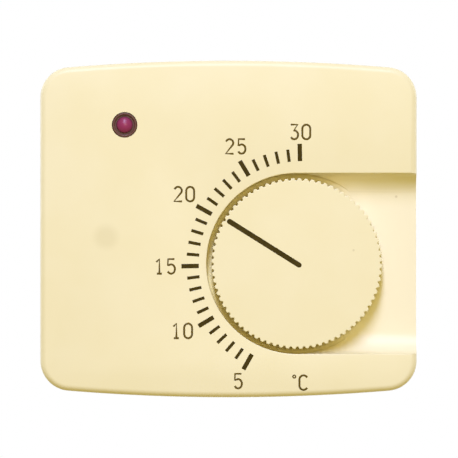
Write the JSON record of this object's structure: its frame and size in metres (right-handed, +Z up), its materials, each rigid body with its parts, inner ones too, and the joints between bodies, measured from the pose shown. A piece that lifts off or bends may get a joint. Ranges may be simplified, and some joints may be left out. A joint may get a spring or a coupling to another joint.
{
  "type": "room thermostat",
  "caption": "Surface-mounted room thermostat: bowed rectangular cover, sunk knurled dial with finger recess, indicator lamp, wall base and bimetal switch inside.",
  "frame": {"origin": "centre of the base plate's back face, on the wall", "axes": "+X right, +Z up, +Y into the wall; the cover faces -Y"},
  "size_m": [0.075, 0.026, 0.0672],
  "materials": {
    "cover_plastic": "satin moulded, warm ivory",
    "base_plastic": "matt moulded, ivory",
    "lens_ruby": "clear-tinted, domed",
    "led_red": "diffused red",
    "board_green": "solder-resist lacquer",
    "resistor_tan": "lacquered, colour bands",
    "diode_black": "moulded epoxy",
    "block_plastic": "glass-filled moulding",
    "brass": "stamped",
    "screw_steel": "zinc plated",
    "spring_steel": "drawn",
    "silver_contact": "silver rivet",
    "magnet_ferrite": "sintered",
    "holder_plastic": "moulded",
    "resistor_green": "vitreous coating",
    "wire_blue": "PVC insulation",
    "wire_brown": "PVC insulation",
    "bush_nylon": "nylon",
    "max_red": "moulded",
    "min_blue": "moulded",
    "spindle_plastic": "acetal",
    "lever_steel": "stamped, zinc plated",
    "bimetal": "rolled"
  },
  "bodies": {
    "casing": {"front_cover": "cover_plastic", "cover_screw": "screw_steel", "base_plate": "base_plastic", "indicator_lens": "lens_ruby", "indicator_led": "led_red", "circuit_board": "board_green", "board_screw_1": "screw_steel", "board_screw_2": "screw_steel", "series_resistor": "resistor_tan", "rectifier_diode": "diode_black", "terminal_block": "block_plastic", "terminal_clamp_1": "brass", "terminal_screw_1": "screw_steel", "terminal_clamp_2": "brass", "terminal_screw_2": "screw_steel", "terminal_clamp_3": "brass", "terminal_screw_3": "screw_steel", "terminal_clamp_4": "brass", "terminal_screw_4": "screw_steel", "terminal_clamp_5": "brass", "terminal_screw_5": "screw_steel", "contact_conductor": "brass", "feed_conductor": "brass", "contact_bracket": "brass", "fixed_contact": "silver_contact", "bracket_screw": "screw_steel", "magnet": "magnet_ferrite", "magnet_holder": "holder_plastic", "differential_screw": "brass", "heater_resistor": "resistor_green", "board_wire_1": "wire_blue", "board_wire_2": "wire_brown", "spindle_bush": "bush_nylon", "friction_washer": "spring_steel", "lever_pivot_pin": "screw_steel", "pivot_clip": "spring_steel", "lever_spring": "spring_steel"},
    "dial": {"temperature_dial": "cover_plastic", "dial_clip": "spring_steel", "max_limit_ring": "max_red", "min_limit_ring": "min_blue", "setting_spindle": "spindle_plastic", "setting_cam": "spindle_plastic"},
    "lever": {"setting_lever": "lever_steel", "clamp_plate": "lever_steel", "foot_rivet_1": "brass", "foot_rivet_2": "brass", "calibration_screw": "brass"},
    "bimetal": {"bimetal_strip": "bimetal", "moving_contact": "silver_contact", "armature": "lever_steel", "armature_rivet": "brass"}
  },
  "joints": [
    {"name": "dial_turn", "type": "hinge", "parent": "casing", "child": "dial", "pos_m": [0.0136, -0.0238, -0.0069], "axis": [0, 1, 0], "range_deg": [-92, 58]},
    {"name": "lever_turn", "type": "hinge", "parent": "casing", "child": "lever", "pos_m": [-0.008, -0.0163, -0.022], "axis": [0, 1, 0], "range_deg": [-2.8, 1.8]},
    {"name": "bimetal_flex", "type": "hinge", "parent": "lever", "child": "bimetal", "pos_m": [-0.0222, -0.0135, -0.017], "axis": [0, 1, 0], "range_deg": [-0.6, 0.6], "stiffness_Nm_per_rad": 0.05}
  ],
  "couplings": [
    {"joint": "lever_turn", "follows": "dial_turn", "ratio": 0.03}
  ]
}
